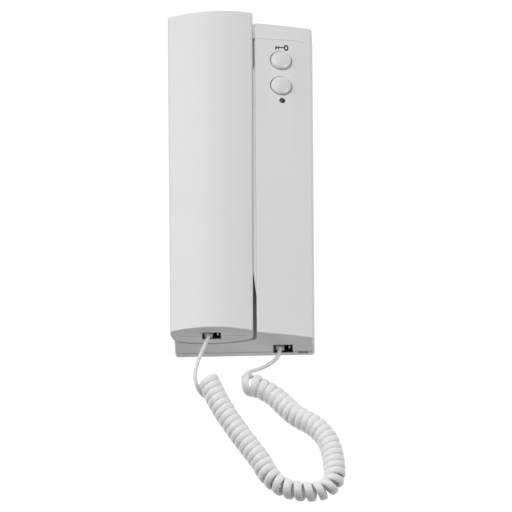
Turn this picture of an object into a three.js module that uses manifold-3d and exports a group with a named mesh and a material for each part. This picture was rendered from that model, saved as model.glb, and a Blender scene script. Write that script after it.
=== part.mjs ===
// A slim wall audiophone: a base unit on the wall, a full-length handset hooked on its left side,
// two push buttons on the raised block at its right, and a curly cord between two modular jacks.
// Millimetres. +X is right, +Y goes into the wall and +Z is up. The origin is the middle of the back
// plate's rear face, so everything lies at negative Y. "Depth" below is the distance in front of the
// wall, so depth = -Y.

import * as THREE from 'three';
import { mergeVertices } from 'three/addons/utils/BufferGeometryUtils.js';
import Module from 'manifold-3d';

const wasm = await Module();
wasm.setup();

// ---------------------------------------------------------------- driving dimensions

const clearance = 0.3;      // left between two pieces that touch
const wall = 2;             // thickness of the moulded covers and shells

const base = {
  left: -43, right: 43, bottom: -110, top: 110,
  seam: 4.2,                // depth of the parting line between back plate and cover
  cradle: 15.6,             // depth of the cradle floor at its lowest
  blockLeft: 7.9,           // left wall of the raised block
  blockTall: 29.3,          // depth of the block's face at its left edge
  blockLow: 20.4,           // and at the right side of the base
  blockCrown: 0.5,          // how much that face bulges between them
};

const handset = {
  left: -45.5, right: 5.7, bottom: -110, top: 113.8,
  edge: 31.2,               // depth of the front edges
  crown: 5.3,               // how far the front bulges past them
  seam: 25.3,               // depth of the parting line between the two shells
  rear: 16.3,               // depth of the rear face at the centre line
  rearRadius: 82,           // radius of the rear face
  widening: 1.2,            // the top is this much wider than the bottom, all on the right side
  climb: 2.4,               // the top edge is this much higher at its right end
};
handset.middle = (handset.left + handset.right) / 2;

const plate = { thickness: 2, rimWall: 1.8, cornerRadius: 2 };
const board = { rear: 5.5, front: 7.1 };

const button = {
  x: 24.1, radius: 6.4, travel: 1.2,
  rise: 2.1,                // how far the dome's middle stands proud of the block's face
  lean: 0.35,               // how much of that face's slope the dome shares
  heights: { door: 85, service: 67 },
};
const lamp = { x: 24.7, z: 56.6, radius: 1.65 };

const lift = { angle: 30 * Math.PI / 180, lugBottom: 30, lugTop: 36, lugReach: 21 };
const plunger = { z: 60, radius: 4, travel: 2.5 };

const jack = { width: 13.4, height: 10.8, length: 15.7, socketDepth: 13 };
const baseJack = { x: 23.65, depth: 8, window: [12.2, 10] };
const handsetJack = { x: -20, depth: 25.6, window: [11.8, 8.2] };
const plug = { offset: -2, halfWidth: 3.2, halfThickness: 3.7, inset: 0.4, length: 11 };

const earpiece = { z: 88, radius: 16.5 };
const microphone = { z: -74, radius: 4.8 };
const shellScrews = { top: 55, bottom: -52 };

const terminals = { left: -36, pitch: 5, count: 8, bottom: 6, top: 16, front: 13 };
const boardScrews = [[-34, 98], [34, 98], [-34, 24], [34, -60]];

const cord = { tailRadius: 1.7, coilRadius: 6.6 };

// The cord's route, [x, y, z]: the straight tail from the handset's plug to the coil, the centre line
// of the coil, and the tail from the base's plug, which loops round the coil's end.
const handsetTailRoute = [
  [-22, -25.4, -110.4], [-22.9, -25.4, -113.2], [-26.2, -25, -121.3], [-28.7, -24.5, -127.8],
  [-30.1, -24, -134.5], [-29.8, -23.5, -141], [-28.6, -22.9, -144.2], [-27.3, -22.5, -145.8],
];
const coilRoute = [
  [-20.6, -22.3, -144.5], [-14.5, -21.5, -158.5], [-3.5, -20.3, -177.5], [8.5, -19, -196],
  [14.2, -18.4, -206], [21.3, -17.8, -213.3], [33, -17.1, -217], [46, -16.2, -215.2],
  [52.4, -15.7, -208.5], [53.7, -15.1, -199], [51, -14.2, -181], [43.5, -13.5, -169.5],
  [30, -12.5, -159.5], [17.5, -11.5, -145.7], [6, -10.7, -137.5],
];
const baseTailRoute = [
  [21.6, -7.8, -110.4], [20.1, -8, -114.8], [16.5, -9.5, -119.9], [10.5, -12, -125.1],
  [4, -15.5, -130.1], [0, -17.5, -134.3], [-2.4, -17, -138.6], [-2.5, -14.5, -141.8], [0, -10.5, -143.7],
];

// ---------------------------------------------------------------- shaping tools

// A closed geometry as a solid. One drawn inside out is turned the right way round.
function solid(geometry) {
  geometry.deleteAttribute('normal');
  geometry.deleteAttribute('uv');
  const merged = mergeVertices(geometry, 1e-4);
  const vertProperties = new Float32Array(merged.attributes.position.array);
  const triVerts = new Uint32Array(merged.index.array);
  const made = new wasm.Manifold(new wasm.Mesh({ numProp: 3, vertProperties, triVerts }));
  if (made.volume() > 0) return made;
  return new wasm.Manifold(new wasm.Mesh({ numProp: 3, vertProperties, triVerts: triVerts.reverse() }));
}

const join = (first, ...others) => others.reduce((whole, piece) => whole.add(piece), first);
const cut = (first, ...tools) => tools.reduce((rest, tool) => rest.subtract(tool), first);

function extruded(outline, length) {
  const shape = new THREE.Shape(outline.map(([a, b]) => new THREE.Vector2(a, b)));
  return new THREE.ExtrudeGeometry(shape, { depth: length, bevelEnabled: false });
}

// A prism that stands along Z. The outline's points are [x, depth].
function uprightPrism(outline, bottom, top) {
  const geometry = extruded(outline.map(([x, depth]) => [x, -depth]), top - bottom);
  return geometry.translate(0, 0, bottom);
}

// A prism that comes straight out of the wall. The outline's points are [x, z].
function forwardPrism(outline, back, front) {
  return extruded(outline, front - back).translate(0, 0, back).rotateX(Math.PI / 2);
}

// A prism that runs across the object. The outline's points are [depth, z].
function sidewaysPrism(outline, left, right) {
  const axes = new THREE.Matrix4().makeBasis(
    new THREE.Vector3(0, 1, 0), new THREE.Vector3(0, 0, 1), new THREE.Vector3(1, 0, 0));
  const geometry = extruded(outline.map(([depth, z]) => [-depth, z]), right - left);
  return geometry.applyMatrix4(axes).translate(left, 0, 0);
}

function block([left, right], [back, front], [bottom, top]) {
  const geometry = new THREE.BoxGeometry(right - left, front - back, top - bottom);
  return solid(geometry.translate((left + right) / 2, -(back + front) / 2, (bottom + top) / 2));
}

// A round piece whose axis comes out of the wall at (x, z). Its profile's points are [radius, depth].
function turned(profile, x, z, sides) {
  const points = profile.map(([radius, depth]) => new THREE.Vector2(radius, depth));
  return solid(new THREE.LatheGeometry(points, sides).rotateX(Math.PI).translate(x, 0, z));
}

function rod(radius, back, front, x, z, sides = 20) {
  return turned([[0, back], [radius, back], [radius, front], [0, front]], x, z, sides);
}

// A closed ring, or a bush, whose axis comes out of the wall.
function ring(inner, outer, back, front, x, z, sides = 24) {
  const profile = [[inner, back], [outer, back], [outer, front], [inner, front], [inner, back]];
  return turned(profile, x, z, sides);
}

// Points of an arc from one end to the other that bulges by rise, both ends included.
function arc([x0, y0], [x1, y1], rise, steps) {
  return Array.from({ length: steps + 1 }, (_, i) => {
    const t = i / steps;
    return [x0 + (x1 - x0) * t, y0 + (y1 - y0) * t + 4 * rise * t * (1 - t)];
  });
}

// Points of a rounded corner between two straight stretches, bent towards the corner point.
function corner([x0, y0], [cx, cy], [x1, y1], steps = 4) {
  const curve = new THREE.QuadraticBezierCurve(
    new THREE.Vector2(x0, y0), new THREE.Vector2(cx, cy), new THREE.Vector2(x1, y1));
  return curve.getPoints(steps).map((p) => [p.x, p.y]);
}

function roundedRectangle(left, right, bottom, top, radius) {
  const shape = new THREE.Shape();
  shape.moveTo(left + radius, bottom);
  shape.lineTo(right - radius, bottom);
  shape.absarc(right - radius, bottom + radius, radius, -Math.PI / 2, 0);
  shape.absarc(right - radius, top - radius, radius, 0, Math.PI / 2);
  shape.absarc(left + radius, top - radius, radius, Math.PI / 2, Math.PI);
  shape.absarc(left + radius, bottom + radius, radius, Math.PI, 1.5 * Math.PI);
  return shape.getPoints(4).map((p) => [p.x, p.y]);
}

// A slot with round ends that stands upright, as an [x, z] outline.
function slotOutline(x, z, width, height) {
  return roundedRectangle(x - width / 2, x + width / 2, z - height / 2, z + height / 2, width / 2.02);
}

// A round bar that follows a route.
function tube(route, radius, sides, steps) {
  const path = new THREE.CatmullRomCurve3(route.map((p) => new THREE.Vector3(...p)));
  const section = new THREE.Shape(Array.from({ length: sides }, (_, i) => {
    const angle = 2 * Math.PI * i / sides;
    return new THREE.Vector2(radius * Math.cos(angle), radius * Math.sin(angle));
  }));
  return solid(new THREE.ExtrudeGeometry(section, { extrudePath: path, steps, bevelEnabled: false }));
}

// ---------------------------------------------------------------- materials and the group

const finishes = {
  shell: { color: 0xd9d9d8, roughness: 0.3, metalness: 0 },
  button: { color: 0xd6d6d5, roughness: 0.3, metalness: 0 },
  cord: { color: 0xdcdcda, roughness: 0.4, metalness: 0 },
  dark: { color: 0x1c1c1d, roughness: 0.5, metalness: 0 },
  clear: { color: 0x8f9294, roughness: 0.2, metalness: 0 },
  board: { color: 0x2f6b45, roughness: 0.6, metalness: 0 },
  steel: { color: 0xa9abad, roughness: 0.35, metalness: 1 },
  foam: { color: 0x3a3a3a, roughness: 0.95, metalness: 0 },
  brass: { color: 0xb89a5a, roughness: 0.35, metalness: 1 },
  terminal: { color: 0x3d8a5a, roughness: 0.5, metalness: 0 },
};

const audiophone = new THREE.Group();
const baseGroup = new THREE.Group();
const handsetGroup = new THREE.Group();
const cordGroup = new THREE.Group();
audiophone.add(baseGroup, handsetGroup, cordGroup);

function place(group, name, finish, piece) {
  const { vertProperties, triVerts } = piece.getMesh();
  const geometry = new THREE.BufferGeometry();
  geometry.setAttribute('position', new THREE.BufferAttribute(vertProperties, 3));
  geometry.setIndex(new THREE.BufferAttribute(triVerts, 1));
  const mesh = new THREE.Mesh(geometry, new THREE.MeshStandardMaterial(finishes[finish]));
  mesh.name = name;
  group.add(mesh);
}

// ---------------------------------------------------------------- base unit: plate and cover

// Depth of the cradle floor, an arc that follows the handset's rear face.
function cradleDepth(x) {
  const across = x - handset.middle;
  return base.cradle + handset.rearRadius - Math.sqrt(handset.rearRadius ** 2 - across ** 2);
}

// Depth of the raised block's face.
function blockFace(x) {
  const t = (x - base.blockLeft) / (base.right - base.blockLeft);
  return base.blockTall + (base.blockLow - base.blockTall) * t + 4 * base.blockCrown * t * (1 - t);
}

// The cover's outline in plan, from its left seam round to its right seam, or its hollow when inset.
function coverOutline(inset) {
  const left = base.left + inset;
  const right = base.right - inset;
  const wallX = base.blockLeft + inset;
  const cornerStart = wallX - 3.4;
  const floor = Array.from({ length: 13 }, (_, i) => {
    const x = left + (cornerStart - left) * i / 12;
    return [x, cradleDepth(x) - inset];
  });
  const cornerDepth = cradleDepth(cornerStart) - inset;
  const cornerEnd = [wallX, cornerDepth + 3.9];
  const face = Array.from({ length: 9 }, (_, i) => {
    const x = wallX + (right - wallX) * i / 8;
    return [x, blockFace(x) - inset];
  });
  const back = inset ? base.seam - 1 : base.seam;
  return [
    [left, back], ...floor,
    ...corner(floor.at(-1), [wallX, cornerDepth + 0.2], cornerEnd).slice(1),
    ...face, [right, back],
  ];
}

// The right side of the handset at a height, for the lips of the cover that follow it.
function handsetRightAt(z) {
  return handset.right + handset.widening * (z - handset.bottom) / (handset.top - handset.bottom);
}

// A lip that fills the gap beside the handset almost up to the block's face, between two heights.
function gapLip(bottom, taperEnd, top) {
  const beside = clearance + 0.15;
  const outline = [
    [handsetRightAt(top) + beside, top], [handsetRightAt(bottom) + beside, bottom],
    [base.blockLeft + 0.3, taperEnd], [base.blockLeft + 0.3, top],
  ];
  return solid(forwardPrism(outline, 20.6, 27.4));
}

// A jack's window through the lower end of a cover or shell.
function jackWindow({ x, depth, window: [width, height] }, bottom) {
  return block([x - width / 2, x + width / 2], [depth - height / 2, depth + height / 2],
    [bottom - 1, bottom + wall + 1]);
}

// The lug that the handset hangs on, a slanted prism along the direction the handset lifts off in.
function lugOutline(start, end, margin) {
  const rise = Math.tan(lift.angle);
  const low = lift.lugBottom - margin;
  const high = lift.lugTop + margin;
  const along = (depth, z) => [depth, z + (depth - base.cradle) * rise];
  return [along(start, low), along(end, low), along(end, high), along(start, high)];
}
const lugSides = [handset.middle - 6, handset.middle + 6];

const snapHeights = [60, -60];

// The pockets inside the cover's side walls that the back plate's tongues snap into.
function snapPockets() {
  const inner = base.right - wall;
  const outline = [[inner - 0.2, 6.8], [inner + 1.1, 8.6], [inner - 0.2, 10.4]];
  return snapHeights.flatMap((z) => [-1, 1].map((side) =>
    solid(uprightPrism(outline.map(([x, depth]) => [side * x, depth]), z - 5, z + 5))));
}

function makeCover() {
  const outer = solid(uprightPrism(coverOutline(0), base.bottom, base.top));
  const hollow = solid(uprightPrism(coverOutline(wall), base.bottom + wall, base.top - wall));
  const cornerTrim = cut(
    block([base.left - 1, base.right + 1], [0, 40], [base.bottom - 1, base.top + 1]),
    solid(forwardPrism(roundedRectangle(base.left, base.right, base.bottom, base.top,
      plate.cornerRadius), -1, 41)));
  const shell = cut(join(cut(outer, hollow), gapLip(-66, -88, 78), gapLip(100, 100, base.top)), cornerTrim);
  const lug = solid(sidewaysPrism(lugOutline(base.cradle - 1.2, lift.lugReach, 0), ...lugSides));
  const buttonHoles = Object.values(button.heights).map((z) =>
    rod(button.radius + 0.4, 15, 32, button.x, z, 32));
  return cut(join(shell, lug), ...buttonHoles, ...snapPockets(),
    rod(lamp.radius + clearance, 15, 32, lamp.x, lamp.z, 16),
    rod(plunger.radius + clearance, 10, 20, handset.middle, plunger.z, 24),
    jackWindow(baseJack, base.bottom));
}

const cableWindow = { left: -32, right: 0, bottom: -52, top: -22 };
const fixingSlots = [80, 20, -85];

function snapTongue(side, z) {
  const face = base.right - wall - 0.5;
  const outline = [
    [face - 1.4, 1.5], [face, 1.5], [face, 7.4], [face + 1.1, 8.6], [face, 9.8], [face, 11], [face - 1.4, 11],
  ];
  return solid(uprightPrism(outline.map(([x, depth]) => [side * x, depth]), z - 4, z + 4));
}

function makeBackPlate() {
  const rimTop = base.seam - clearance;
  const sheet = solid(forwardPrism(
    roundedRectangle(base.left, base.right, base.bottom, base.top, plate.cornerRadius), 0, rimTop));
  const tray = block([base.left + plate.rimWall, base.right - plate.rimWall], [plate.thickness, rimTop + 1],
    [base.bottom + plate.rimWall, base.top - plate.rimWall]);
  const { left, right, bottom, top } = cableWindow;
  const pryNotch = block([32.7, 38.8], [2, rimTop + 1], [base.bottom - 1, base.bottom + 2.5]);
  const posts = boardScrews.map(([x, z]) => rod(3.2, 1.5, board.rear - clearance, x, z, 16));
  const pilots = boardScrews.map(([x, z]) => rod(1.6, 1, 8, x, z, 12));
  const tongues = snapHeights.flatMap((z) => [snapTongue(-1, z), snapTongue(1, z)]);
  return cut(join(cut(sheet, tray), ...posts, ...tongues),
    block([left, right], [-1, 5], [bottom, top]), pryNotch, jackWindow(baseJack, base.bottom),
    ...fixingSlots.map((z) => solid(forwardPrism(slotOutline(0, z, 4, 9), -1, 5))), ...pilots);
}

place(baseGroup, 'back_plate', 'shell', makeBackPlate());
place(baseGroup, 'base_cover', 'shell', makeCover());

// ---------------------------------------------------------------- base unit: board and its parts

// A pan-head screw with a cross recess. Its head faces away from the wall when outward is 1.
function screw(x, z, seat, shankEnd, outward = 1, headRadius = 2.7) {
  const head = seat + outward * 1.6;
  const profile = [
    [0, head], [headRadius * 0.6, head], [headRadius, head - outward * 0.7], [headRadius, seat],
    [1.3, seat], [1.3, shankEnd], [0, shankEnd],
  ];
  const slot = [head - outward * 0.7, head + outward].sort((a, b) => a - b);
  return cut(turned(profile, x, z, 16),
    block([x - 1.6, x + 1.6], slot, [z - 0.3, z + 0.3]),
    block([x - 0.3, x + 0.3], slot, [z - 1.6, z + 1.6]));
}

function makeMainBoard() {
  const notch = jack.width / 2 + 0.4;
  const outline = [
    [-38, 104], [-38, 2], [10.5, 2], [10.5, -105],
    [baseJack.x - notch, -105], [baseJack.x - notch, -91.5], [baseJack.x + notch, -91.5],
    [baseJack.x + notch, -105], [38.5, -105], [38.5, 104],
  ];
  return cut(solid(forwardPrism(outline, board.rear, board.front)),
    ...boardScrews.map(([x, z]) => rod(1.7, 5, 8, x, z, 12)));
}

const terminalX = (i) => terminals.left + terminals.pitch * (i + 0.5);
const wells = Array.from({ length: terminals.count }, (_, i) => terminalX(i));

// The block that clamps the riser wires: a screw well over a square wire entry for each way.
function makeTerminalBlock() {
  const { left, pitch, count, bottom, top, front } = terminals;
  const body = block([left, left + pitch * count], [board.front + clearance, front], [bottom, top]);
  const entries = wells.map((x) => block([x - 1.5, x + 1.5], [8.2, 11], [bottom - 1, bottom + 4]));
  return cut(body, ...wells.map((x) => rod(1.9, front - 2, front + 1, x, 12.5, 12)), ...entries);
}

function terminalScrew(x) {
  const floor = terminals.front - 2 + clearance;
  return cut(rod(1.5, floor, floor + 1.2, x, 12.5, 12),
    block([x - 2, x + 2], [floor + 0.7, floor + 2], [12.2, 12.8]));
}

// A modular jack: a black housing whose socket opens downwards.
function makeJack({ x, depth }, bottom) {
  const start = bottom + wall + clearance;
  const body = block([x - jack.width / 2, x + jack.width / 2],
    [depth - jack.height / 2, depth + jack.height / 2], [start, start + jack.length]);
  const socket = block([x - 5.5, x + 5.2], [depth - 4.1, depth + 4.1], [start - 1, start + jack.socketDepth]);
  return cut(body, socket);
}

// A tact switch has a housing with a blind bore and a key that slides in it.
const keyRadius = 1.65;
function makeSwitchHousing(z) {
  const body = block([button.x - 3, button.x + 3], [board.front + clearance, 10.9], [z - 3, z + 3]);
  return cut(body, rod(keyRadius + clearance, 7.9, 12, button.x, z, 16));
}

// A button: a hollow domed cap whose dome leans with the block's face, a retaining flange behind the
// cover, and a long stem that stands on the switch's key.
function makeButton(z) {
  const faceSlope = (blockFace(button.x + 5) - blockFace(button.x - 5)) / 10;
  const slope = Math.atan(button.lean * faceSlope);
  const top = blockFace(button.x);
  const reach = 10;
  const domeProfile = Array.from({ length: 8 }, (_, i) => {
    const t = i / 7;
    return new THREE.Vector2(reach * t, button.rise - 5.4 * t * t);
  });
  domeProfile.push(new THREE.Vector2(reach, -14), new THREE.Vector2(0, -14));
  const dome = solid(new THREE.LatheGeometry(domeProfile, 28).rotateX(Math.PI).rotateZ(-slope)
    .translate(button.x, -top, z));
  const cap = rod(button.radius, 19.9, 32, button.x, z, 32).intersect(dome);
  const flange = rod(8, 19.9, 20.9, button.x, z, 28);
  const hollow = ring(3.2, 5.4, 18, 23, button.x, z, 24);
  const stem = rod(2.5, 12.7, 20.5, button.x, z, 16);
  return join(cut(join(cap, flange), hollow), stem);
}

function makePlunger() {
  const front = handset.rear - 0.4;
  const profile = [[0, 9.9], [5.2, 9.9], [5.2, 10.8], [plunger.radius, 10.8], [plunger.radius, front - 0.8],
    [plunger.radius - 0.8, front], [0, front]];
  return turned(profile, handset.middle, plunger.z, 24);
}

place(baseGroup, 'main_board', 'board', makeMainBoard());
boardScrews.forEach(([x, z], i) =>
  place(baseGroup, `board_screw_${i + 1}`, 'steel', screw(x, z, board.front + clearance, 2.5)));
place(baseGroup, 'terminal_block', 'terminal', makeTerminalBlock());
wells.forEach((x, i) => place(baseGroup, `terminal_screw_${i + 1}`, 'steel', terminalScrew(x)));
place(baseGroup, 'base_jack', 'dark', makeJack(baseJack, base.bottom));
for (const [name, z] of Object.entries(button.heights)) {
  place(baseGroup, `${name}_button`, 'button', makeButton(z));
  place(baseGroup, `${name}_switch`, 'dark', makeSwitchHousing(z));
  place(baseGroup, `${name}_switch_key`, 'dark', rod(keyRadius, 9.3, 12.4, button.x, z, 16));
}
place(baseGroup, 'hook_plunger', 'button', makePlunger());
place(baseGroup, 'hook_switch', 'dark', block([handset.middle - 4, handset.middle + 4],
  [board.front + clearance, 9.5], [plunger.z - 4, plunger.z + 4]));
place(baseGroup, 'call_sounder', 'dark', turned([[0, 7.4], [11.5, 7.4], [11.5, 12.5], [10.5, 13.5], [2, 13.5],
  [2, 12.3], [0, 12.3]], 24.5, 22, 28));
place(baseGroup, 'speech_capacitor', 'dark', turned([[0, 7.4], [4, 7.4], [4, 18.3], [3.4, 18.9], [0, 18.9]],
  26, -8, 20));
place(baseGroup, 'status_led', 'clear', turned([[0, 7.4], [1.9, 7.4], [1.9, 8.4], [1.5, 8.4], [1.5, 10.8],
  [0.8, 12], [0, 12]], lamp.x, lamp.z, 16));
const lampTop = blockFace(lamp.x);
place(baseGroup, 'lamp_lens', 'dark', turned([[0, 12.6], [1.2, 12.6], [1.2, lampTop - 2.8],
  [lamp.radius, lampTop - 2.6], [lamp.radius, lampTop - 0.5], [0.9, lampTop + 0.05], [0, lampTop + 0.15]],
lamp.x, lamp.z, 16));

// ---------------------------------------------------------------- handset

// Depth of the rear face before the handset is drafted.
function rearDepth(x) {
  const across = x - handset.middle;
  return handset.rear + handset.rearRadius - Math.sqrt(handset.rearRadius ** 2 - across ** 2);
}

// The handset's outline in plan: a lens with straight sides that lean in towards the rear on the left.
function handsetOutline(inset) {
  const left = handset.left + inset;
  const right = handset.right - inset;
  const edge = handset.edge - inset;
  const rearRight = right - 3.1;
  const rearLeft = left + 3.3;
  const rear = Array.from({ length: 13 }, (_, i) => {
    const x = rearRight + (rearLeft - rearRight) * i / 12;
    return [x, rearDepth(x) + inset];
  });
  const rightCorner = corner([right, rear[0][1] + 3.6], [right, rear[0][1] + 0.3], rear[0]);
  const leftCorner = corner(rear[12], [left + 2.4, rear[12][1] + 0.4], [left + 2, rear[12][1] + 1.9], 2);
  return [
    ...arc([left, edge], [right, edge], handset.crown, 24),
    ...rightCorner, ...rear.slice(1), ...leftCorner.slice(1), [left + 0.1, 26.4 - inset * 0.5],
  ];
}

// The handset widens towards its top and its top edge climbs to the right.
function drafted(geometry) {
  const positions = geometry.attributes.position;
  for (let i = 0; i < positions.count; i++) {
    const across = (positions.getX(i) - handset.left) / (handset.right - handset.left);
    const up = (positions.getZ(i) - handset.bottom) / (handset.top - handset.bottom);
    positions.setX(i, positions.getX(i) + handset.widening * across * up);
    positions.setZ(i, positions.getZ(i) + handset.climb * across * up);
  }
  return geometry;
}

const handsetBody = () => solid(drafted(uprightPrism(handsetOutline(0), handset.bottom, handset.top)));

function handsetShell() {
  const hollow = drafted(uprightPrism(handsetOutline(wall), handset.bottom + wall, handset.top - wall));
  return cut(handsetBody(), solid(hollow));
}

const allRound = [[-60, 20], [-120, 130]];
const frontShellStart = handset.seam + clearance / 2;
const rearShellEnd = handset.seam - clearance / 2;

function makeFrontShell() {
  const shell = cut(handsetShell(), block(allRound[0], [0, frontShellStart], allRound[1]),
    jackWindow(handsetJack, handset.bottom));
  const crownInside = handset.edge + handset.crown - wall;
  const screwHeights = Object.values(shellScrews);
  const bosses = screwHeights.map((z) => rod(3.5, 20.6, crownInside + 0.6, handset.middle, z, 20));
  const pilots = screwHeights.map((z) => rod(1.6, 20, 28.5, handset.middle, z, 12));
  return cut(join(shell, ...bosses), ...pilots);
}

function makeRearShell() {
  const x = handset.middle;
  const inside = handset.rear + wall;
  const shell = cut(handsetShell(), block(allRound[0], [rearShellEnd, 45], allRound[1]));
  const screwHeights = Object.values(shellScrews);
  const pads = screwHeights.map((z) => rod(4.5, inside - 0.4, 20.3, x, z, 20));
  const pocketSides = [lugSides[0] - 1.8, lugSides[1] + 1.8];
  const pocketBox = solid(sidewaysPrism(lugOutline(inside - 0.7, lift.lugReach + 1.8, 1.8), ...pocketSides));
  const pocketOutline = lugOutline(10, lift.lugReach + 0.6, 0.5);
  const pocket = solid(sidewaysPrism(pocketOutline, lugSides[0] - 0.5, lugSides[1] + 0.5));
  const earRib = ring(earpiece.radius + 0.5, earpiece.radius + 1.7, inside - 0.8, 23.5, x, earpiece.z, 32);
  const microphoneRib = ring(6.4, 7.4, inside - 0.8, 23, x, microphone.z, 20);
  const boardPosts = [-33, -7].map((post) => rod(2, inside, 24.4, post, -97, 12));
  const earHoles = Array.from({ length: 6 }, (_, i) => i * Math.PI / 3).map((angle) =>
    rod(0.9, 12, 20, x + 5 * Math.cos(angle), earpiece.z + 5 * Math.sin(angle), 10));
  const voiceHoles = [-3, 0, 3].map((aside) => rod(0.7, 12, 20, x + aside, microphone.z, 10));
  const whole = join(shell, ...pads, pocketBox, earRib, microphoneRib, ...boardPosts)
    .intersect(handsetBody());
  return cut(whole, pocket, ...earHoles, rod(0.9, 12, 20, x, earpiece.z, 10), ...voiceHoles,
    ...screwHeights.flatMap((z) => [rod(3.1, 10, 18.1, x, z, 20), rod(1.7, 10, 22, x, z, 12)]),
    jackWindow(handsetJack, handset.bottom));
}

function makeHandsetBoard() {
  const notch = jack.width / 2 + 0.4;
  const { x } = handsetJack;
  return solid(forwardPrism([
    [-36, -104], [x - notch, -104], [x - notch, -91.5], [x + notch, -91.5], [x + notch, -104],
    [-4, -104], [-4, -85], [-36, -85],
  ], 24.8, 26.4));
}

// A rubber cup round the microphone, open towards the rear, with a hole for its lead.
function makeMicrophoneBoot() {
  const { radius, z } = microphone;
  return turned([[radius + clearance, 18.9], [6, 18.9], [6, 25.4], [2, 25.4], [2, 24.2],
    [radius + clearance, 24.2], [radius + clearance, 18.9]], handset.middle, z, 24);
}

place(handsetGroup, 'handset_front_shell', 'shell', makeFrontShell());
place(handsetGroup, 'handset_rear_shell', 'shell', makeRearShell());
Object.entries(shellScrews).forEach(([name, z]) =>
  place(handsetGroup, `shell_screw_${name}`, 'steel', screw(handset.middle, z, 18.1 - clearance, 27.5, -1)));
place(handsetGroup, 'earpiece_seal', 'foam',
  ring(13, earpiece.radius, 20.4, 22, handset.middle, earpiece.z, 28));
place(handsetGroup, 'earpiece_capsule', 'dark', turned([[0, 22.3], [earpiece.radius, 22.3],
  [earpiece.radius, 26.2], [10, 26.8], [10, 30], [0, 30]], handset.middle, earpiece.z, 28));
place(handsetGroup, 'microphone_boot', 'foam', makeMicrophoneBoot());
place(handsetGroup, 'microphone_capsule', 'steel',
  rod(microphone.radius, 19.3, 23.9, handset.middle, microphone.z, 20));
place(handsetGroup, 'handset_board', 'board', makeHandsetBoard());
place(handsetGroup, 'handset_jack', 'dark', makeJack(handsetJack, handset.bottom));
place(handsetGroup, 'earpiece_lead', 'brass', tube([
  [-33, -27.6, -88], [-33.5, -28.4, -80], [-34, -28.6, -50], [-34, -28.6, 0], [-33, -28.8, 50],
  [-29, -30.4, 70], [-24, -31.2, 82], [-20, -31.2, 89],
], 0.8, 6, 26));
place(handsetGroup, 'microphone_lead', 'brass', tube([
  [handset.middle, -25.9, -74], [handset.middle + 1, -28.4, -76], [-16.5, -28.2, -82], [-15, -27.4, -88],
], 0.8, 6, 10));

// ---------------------------------------------------------------- cord

// A clear modular plug. It lies on its side in the jack, with its latch towards the right.
function makePlug({ x: jackX, depth }, bottom) {
  const x = jackX + plug.offset;
  const rear = bottom + plug.inset;
  const front = rear + plug.length;
  const { halfWidth, halfThickness } = plug;
  const thickness = [depth - halfThickness, depth + halfThickness];
  const body = block([x - halfWidth, x + halfWidth], thickness, [rear, front]);
  const latchOutline = [
    [x + halfWidth - 0.5, front], [x + halfWidth - 0.5, front - 2.2], [x + halfWidth + 0.5, front - 2.6],
    [x + halfWidth + 2.2, rear + 0.8], [x + halfWidth + 3.1, rear + 0.8], [x + halfWidth + 1.1, front - 0.4],
  ];
  return join(body, solid(forwardPrism(latchOutline, depth - 1.6, depth + 1.6)));
}

place(cordGroup, 'handset_plug', 'clear', makePlug(handsetJack, handset.bottom));
place(cordGroup, 'base_plug', 'clear', makePlug(baseJack, base.bottom));
place(cordGroup, 'handset_tail', 'cord', tube(handsetTailRoute, cord.tailRadius, 8, 14));
place(cordGroup, 'curly_coil', 'cord', tube(coilRoute, cord.coilRadius, 12, 30));
place(cordGroup, 'base_tail', 'cord', tube(baseTailRoute, cord.tailRadius, 8, 18));

export default audiophone;
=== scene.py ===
# Looks of the slim wall audiophone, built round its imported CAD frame.
# Metres; +X right, +Y into the wall, +Z up. Outlines are written in millimetres and scaled by MM.
# "Depth" is the distance in front of the wall, so depth = -y.

import math

import bmesh
import bpy
from mathutils import Matrix, Vector


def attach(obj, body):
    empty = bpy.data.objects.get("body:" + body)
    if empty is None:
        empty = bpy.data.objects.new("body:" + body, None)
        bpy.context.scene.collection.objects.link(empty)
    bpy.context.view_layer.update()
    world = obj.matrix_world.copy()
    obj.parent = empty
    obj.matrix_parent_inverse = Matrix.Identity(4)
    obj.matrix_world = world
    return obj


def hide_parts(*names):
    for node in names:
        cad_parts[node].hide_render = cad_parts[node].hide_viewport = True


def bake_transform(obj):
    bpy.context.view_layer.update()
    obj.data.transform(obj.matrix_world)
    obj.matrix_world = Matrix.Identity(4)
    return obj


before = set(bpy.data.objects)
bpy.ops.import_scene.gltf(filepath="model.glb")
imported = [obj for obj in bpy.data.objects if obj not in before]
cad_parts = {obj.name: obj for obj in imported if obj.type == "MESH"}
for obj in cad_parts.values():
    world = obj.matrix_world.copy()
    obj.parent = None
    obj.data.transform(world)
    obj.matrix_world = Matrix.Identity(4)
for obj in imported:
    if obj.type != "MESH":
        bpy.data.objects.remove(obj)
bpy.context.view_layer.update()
MM = 0.001


# ------------------------------------------------------------------ camera

AZIMUTH = 1.3          # degrees to the right of straight on
ELEVATION = -30        # the camera looks up at the phone
ROLL = 0.45
VIEW_WIDTH = 0.31547
TARGET = Vector((7.6, -18, -49.4)) * MM


def add_camera():
    around, up = math.radians(AZIMUTH), math.radians(ELEVATION)
    back = Vector((math.sin(around) * math.cos(up), -math.cos(around) * math.cos(up), math.sin(up)))
    data = bpy.data.cameras.new("camera")
    data.type = "ORTHO"
    data.ortho_scale = VIEW_WIDTH
    camera = bpy.data.objects.new("camera", data)
    turn = Matrix.Rotation(math.radians(-ROLL), 4, "Z")
    camera.matrix_world = Matrix.Translation(TARGET + back) @ (
        (-back).to_track_quat("-Z", "Y").to_matrix().to_4x4() @ turn
    )
    bpy.context.scene.collection.objects.link(camera)
    bpy.context.scene.camera = camera


add_camera()


# ------------------------------------------------------------------ mesh tools


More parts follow.
